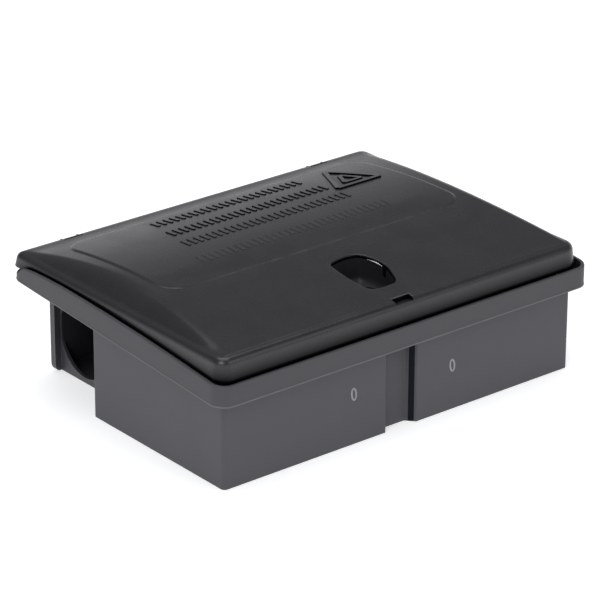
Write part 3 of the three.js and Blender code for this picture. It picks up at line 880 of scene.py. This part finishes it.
def panel_rise(plan):
    """Height of the field above the lid, which runs out towards the middle of its front edge."""
    x, y = plan.T
    near_front = np.clip(1 - (y - PANEL[1]) / 22, 0, 1)
    from_end = np.clip((104 - np.abs(x - (PANEL[0] + PANEL[2]) / 2)) / 26, 0.4, 1)
    return PANEL_RISE * (1 - 0.93 * smooth_step(near_front) * smooth_step(from_end))


def build_panel():
    """The slightly raised field on the lid's rear part."""
    counts = {"along_x": 100, "along_y": 50, "corner": 18}

    def ring(inset, share):
        plan = inset_outline(*PANEL, PANEL_RADIUS, inset, **counts)
        return surface_ring(plan, -panel_rise(plan) * share)

    insets = np.linspace(2.4, 47.8, 40)
    edge = ((0, -0.5), (0, 0.05), (0.4, 0.3), (0.9, 0.68), (1.3, 0.9), (1.8, 1))
    rings = [ring(inset, -0.5) for inset in insets[::-1]]
    rings += [ring(inset, share) for inset, share in edge]
    rings += [ring(inset, 1) for inset in insets]
    return ring_mesh("lid_panel", rings, cap_start=True, cap_end=True, sharp=60)


def raised_mark(points, low, high):
    """An upright bar with the plan outline given, from `low` to `high` above the lid's surface."""
    plan = np.asarray(points, float)
    rings = [surface_ring(plan, -low), surface_ring(plan, -high)]
    return ring_mesh("mark", rings, cap_start=True, cap_end=True)


def build_marks():
    """Plain rows of short ribs, and a plain double triangle, where a label field would be."""
    marks = []
    for x0, x1, y0, y1, rise in RIB_ROWS:
        count = round((x1 - x0) / RIB_PITCH)
        for i in range(count):
            x = x0 + (x1 - x0) * (i + 0.5) / count
            rib = rounded_box(x - RIB_HALF, y0, x + RIB_HALF, y1, RIB_RADIUS, 3)
            marks.append(raised_mark(rib, MARK_ROOT, rise))
    for corners, half in TRIANGLES:
        corners = [np.array(c, float) for c in corners]
        for a, b in zip(corners, corners[1:] + corners[:1]):
            along = (b - a) / np.linalg.norm(b - a)
            side = np.array((-along[1], along[0])) * half
            steps = np.linspace(0, 1, 8)
            outer = [a + (b - a) * t + side for t in steps]
            inner = [a + (b - a) * t - side for t in steps[::-1]]
            marks.append(raised_mark(inner + outer, MARK_ROOT, TRIANGLE_RISE))
    field = merge(*marks)
    field.name = "lid_marks"
    return soften(field, 0.28, 3, 50)


# ------------------------------------------------------------------ lock


def build_well():
    """The cup that forms the lock well, tucked under the edge of the opening."""
    wall, corner = WELL_WALL, WELL_CORNER

    def under_lid(grow):
        plan = well_plan(grow)
        return with_height(plan, lid_height(plan[:, 0], plan[:, 1]) - LID_SKIN - 0.15)

    rings = [with_height(well_plan(wall), WELL_FLOOR - 1.6), under_lid(wall), under_lid(0.1)]
    rings += [with_height(well_plan(0), 73), with_height(well_plan(-0.2), WELL_FLOOR + corner)]
    for step in range(1, 9):
        angle = math.radians(90 * step / 8)
        plan = well_plan(-0.2 - corner * (1 - math.cos(angle)))
        rings.append(with_height(plan, WELL_FLOOR + corner * (1 - math.sin(angle))))
    cup = ring_mesh("lock_well", rings, cap_start=True, cap_end=True, sharp=60)
    cut(cup, prism("bore", disc(*WELL_CENTRE, WELL_BORE, 48), 50, 90))
    cup.data.shade_smooth()
    cup.data.set_sharp_from_angle(angle=math.radians(50))
    return cup


def build_highlight_sliver():
    """A sliver of bright steel along the right-hand edge of the well, a painted highlight on its
    rim.
    """
    plan = well_plan(-0.9)
    angles = np.arctan2(plan[:, 1] - WELL_CENTRE[1], plan[:, 0] - WELL_CENTRE[0])
    spine = plan[(angles > SLIVER_FROM) & (angles < SLIVER_TO)]
    spine = spine[np.argsort(spine[:, 1])]
    height = lid_height(spine[:, 0], spine[:, 1]) - SLIVER_DROP
    taper = np.sin(np.linspace(0.15, math.pi - 0.15, len(spine)))
    count = 12
    turns = np.linspace(0, 2 * math.pi, count, endpoint=False)
    rings = [
        np.column_stack((
            x + SLIVER_RADIUS * t * np.cos(turns), np.full(count, y),
            z + SLIVER_RADIUS * t * np.sin(turns),
        ))
        for (x, y), z, t in zip(spine, height, taper)
    ]
    return ring_mesh("well_highlight_sliver", rings[::-1], cap_start=True, cap_end=True, sharp=80)


# ------------------------------------------------------------------ the object

black = lid_material()
indoor = inner_material()
tray_plastic = tray_material()
bright = steel("bright_steel", (0.62, 0.63, 0.64), 0.28, (0.05, 1, 1))
zinc = steel("zinc_steel", (0.55, 0.56, 0.57), 0.36, (1, 1, 1))
wax = bait_material()

tub = paint(build_tub(), tub_material())
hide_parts("base_tub")
tub_pieces = [
    tub,
    paint(build_groove_shade_facing(), groove_shade_material()),
    paint(build_band(), band_material()),
    paint(build_bead(), bead_highlight_material()),
]
for name, (x, z) in GATE_MARKS.items():
    tub_pieces.append(paint(build_gate_mark(name, x, z), gate_material()))
for piece in tub_pieces:
    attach(piece, "tub")

lid = paint(build_lid(), black)
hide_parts("lid_shell")
well = paint(build_well(), well_material())
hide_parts("lock_cup")
lid_pieces = [
    lid,
    well,
    paint(build_highlight_sliver(), bright),
    paint(build_lid_underside(), black),
    paint(build_panel(), black),
    paint(build_marks(), black),
    paint(build_slot_lip(), lip_highlight_material()),
]
for piece in lid_pieces:
    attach(piece, "lid")

# material, slot and edge rounding in millimetres of each CAD node that stays
CAD_LOOKS = {
    "tunnel_baffle": (indoor, "baffle", 0.3),
    "bait_tray_left": (tray_plastic, "tray", 0.35),
    "bait_tray_right": (tray_plastic, "tray", 0.35),
    "bait_rod_left": (bright, "bright_steel", 0.3),
    "bait_rod_right": (bright, "bright_steel", 0.3),
    "bait_block_1": (wax, "bait", 0.6),
    "bait_block_2": (wax, "bait", 0.6),
    "bait_block_3": (wax, "bait", 0.6),
    "bait_block_4": (wax, "bait", 0.6),
    "hinge_pin_left": (bright, "bright_steel", 0.3),
    "hinge_pin_right": (bright, "bright_steel", 0.3),
    "cup_screw_left": (zinc, "zinc_steel", 0.12),
    "cup_screw_right": (zinc, "zinc_steel", 0.12),
    "lock_plug": (black, "plug", 0.3),
    "plug_washer": (zinc, "zinc_steel", 0.12),
    "cam_lever": (zinc, "zinc_steel", 0.2),
    "cam_screw": (zinc, "zinc_steel", 0.12),
}
for node, (material, slot, width) in CAD_LOOKS.items():
    soften(paint(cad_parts[node], material), width, 2)


# ------------------------------------------------------------------ stage, light and camera


def build_floor():
    n = Nodes("floor_paper")
    n.shader.inputs["Roughness"].default_value = 0.9
    paper = n.mix(n.noise(3, 2), (0.8, 0.8, 0.8), (0.84, 0.84, 0.84))
    n.link(paper, n.shader.inputs["Base Color"])
    n.link(paper, n.shader.inputs["Emission Color"])
    n.shader.inputs["Emission Strength"].default_value = 0.6
    floor = prism("floor", disc(0, 0, 6000, 64), -20, 0)
    floor.data.materials.append(n.material)
    floor.location.z = -0.2 * MM  # just clear of the tub's underside


def build_world():
    """A studio that is bright near the horizon and dim overhead."""
    world = bpy.data.worlds.new("studio")
    world.use_nodes = True
    tree = world.node_tree
    direction = tree.nodes.new("ShaderNodeTexCoord").outputs["Generated"]
    split = tree.nodes.new("ShaderNodeSeparateXYZ")
    tree.links.new(direction, split.inputs["Vector"])
    ramp = tree.nodes.new("ShaderNodeValToRGB")
    stops = ((0.0, 0.85), (0.1, 0.85), (0.3, 0.42), (0.42, 0.18), (0.6, 0.36), (1.0, 0.22))
    ramp.color_ramp.elements.remove(ramp.color_ramp.elements[1])
    for index, (place, value) in enumerate(stops):
        elements = ramp.color_ramp.elements
        element = elements.new(place) if index else elements[0]
        element.position = place
        element.color = (value, value, value * 1.02, 1)
    tree.links.new(split.outputs["Z"], ramp.inputs["Fac"])
    tree.links.new(ramp.outputs["Color"], tree.nodes["Background"].inputs["Color"])
    tree.nodes["Background"].inputs["Strength"].default_value = 1.0
    bpy.context.scene.world = world


def add_area(name, place, size, power, colour=(1, 1, 1)):
    light = bpy.data.lights.new(name, "AREA")
    light.shape = "RECTANGLE"
    light.size, light.size_y = size
    light.energy = power
    light.color = colour
    obj = bpy.data.objects.new(name, light)
    obj.location = place
    aim = Vector((0, 0, 0.04)) - Vector(place)
    obj.rotation_euler = aim.to_track_quat("-Z", "Y").to_euler()
    bpy.context.scene.collection.objects.link(obj)


def add_camera():
    """The photograph's view, from a camera fitted to the object's straight edges."""
    azimuth, elevation, roll = (math.radians(a) for a in (-39.24, 23.83, 0.24))
    focal_px, shift_px, distance, target = 3390, (-1.96, -1.1), 1.816, Vector((0, 0, 0.045))
    back = Vector((
        math.sin(azimuth) * math.cos(elevation),
        -math.cos(azimuth) * math.cos(elevation),
        math.sin(elevation),
    ))
    right = Vector((math.cos(azimuth), math.sin(azimuth), 0))
    up = back.cross(right)
    x_axis = right * math.cos(roll) + up * math.sin(roll)
    y_axis = up * math.cos(roll) - right * math.sin(roll)
    data = bpy.data.cameras.new("camera")
    data.sensor_width = 36
    data.lens = data.sensor_width * focal_px / IMAGE_PX
    data.shift_x = shift_px[0] / IMAGE_PX
    data.shift_y = shift_px[1] / IMAGE_PX
    data.clip_end = 50
    camera = bpy.data.objects.new("camera", data)
    turn = Matrix((x_axis, y_axis, back)).transposed().to_4x4()
    camera.matrix_world = Matrix.Translation(target + back * distance) @ turn
    bpy.context.scene.collection.objects.link(camera)
    bpy.context.scene.camera = camera


build_floor()
build_world()
add_area("key", (-1.7, -1.0, 1.5), (1.4, 1.4), 22, (0.94, 1.0, 1.03))
add_area("fill", (0.8, -1.9, 1.2), (1.4, 1.2), 7)
add_area("overhead", (0.1, 0.2, 2.2), (2.0, 2.0), 25)
add_camera()
bpy.context.scene.view_settings.view_transform = "Standard"
